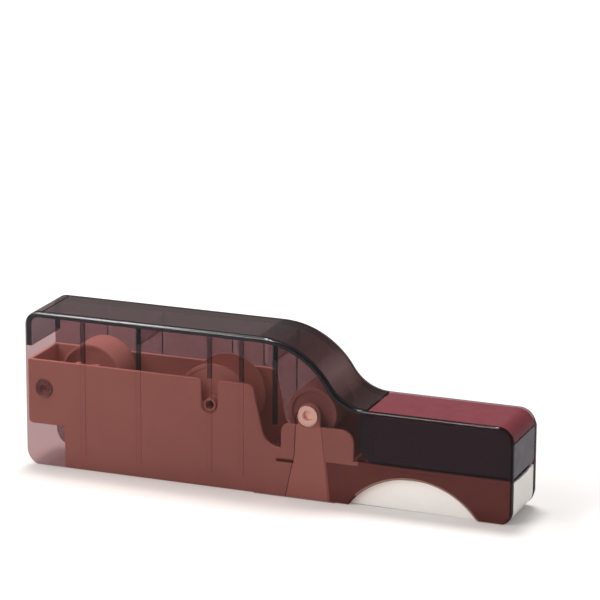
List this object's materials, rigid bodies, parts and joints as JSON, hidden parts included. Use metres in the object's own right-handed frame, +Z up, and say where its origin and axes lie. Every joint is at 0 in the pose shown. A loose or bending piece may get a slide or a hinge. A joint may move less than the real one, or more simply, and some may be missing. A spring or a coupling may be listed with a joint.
{
  "type": "washi tape maker",
  "caption": "Desk-top washi tape maker: open chassis with tape drum, liner reel and roller pair, hinged clear smoky cover, and a press-down cutter nose over a white base.",
  "frame": {"origin": "centre of the whole object's footprint, on the table", "axes": "+X along the length to the cutting nose, +Y across the width, +Z up; the pictured side is at -Y"},
  "size_m": [0.24, 0.035, 0.075],
  "materials": {
    "terracotta": "satin terracotta-pink moulded plastic",
    "smoke": "clear smoky burgundy plastic, polished",
    "dark_plastic": "dark slate plastic, semi-gloss",
    "burgundy": "burgundy plastic, semi-gloss",
    "white_plastic": "satin off-white plastic",
    "steel": "plain bright steel",
    "sleeve": "soft matt grip sleeve"
  },
  "bodies": {
    "frame": {"chassis": "terracotta", "cutter_base": "white_plastic", "counter_blade": "steel", "base_screws": "steel", "head_pivot_pin": "steel", "guide_rods": "steel", "return_springs": "steel"},
    "cover": {"cover_band": "smoke", "cover_side_left": "smoke", "cover_side_right": "smoke"},
    "press_head": {"head_housing": "dark_plastic", "press_plate": "burgundy", "cutter_blade": "steel", "blade_clamp": "dark_plastic", "blade_screws": "steel"},
    "tape_drum": {"rear_hub": "terracotta", "rear_hub_axle": "steel"},
    "liner_reel": {"liner_reel_hub": "terracotta", "liner_reel_flanges": "terracotta", "liner_reel_axle": "terracotta"},
    "feed": {"feed_roller": "terracotta", "feed_sleeve": "sleeve", "feed_shaft": "terracotta"},
    "pinch": {"pinch_roller": "terracotta", "pinch_sleeve": "sleeve", "pinch_shaft": "steel"}
  },
  "joints": [
    {"name": "cover_open", "type": "hinge", "parent": "frame", "child": "cover", "pos_m": [-0.1115, 0, 0.0376], "axis": [0, -1, 0], "range_deg": [0, 75]},
    {"name": "head_press", "type": "hinge", "parent": "frame", "child": "press_head", "pos_m": [0.0541, 0, 0.026], "axis": [0, 1, 0], "range_deg": [0, 1.3], "stiffness_Nm_per_rad": 6, "deforming": ["return_springs"]},
    {"name": "drum_spin", "type": "hinge", "parent": "frame", "child": "tape_drum", "pos_m": [-0.09, 0, 0.0445], "axis": [0, 1, 0], "continuous": true},
    {"name": "reel_spin", "type": "hinge", "parent": "frame", "child": "liner_reel", "pos_m": [-0.0274, 0, 0.0393], "axis": [0, 1, 0], "continuous": true},
    {"name": "feed_spin", "type": "hinge", "parent": "frame", "child": "feed", "pos_m": [0.0218, 0, 0.0403], "axis": [0, 1, 0], "continuous": true},
    {"name": "pinch_spin", "type": "hinge", "parent": "frame", "child": "pinch", "pos_m": [0.0218, 0, 0.022], "axis": [0, 1, 0], "continuous": true}
  ],
  "couplings": [
    {"joint": "pinch_spin", "follows": "feed_spin", "ratio": -2}
  ]
}
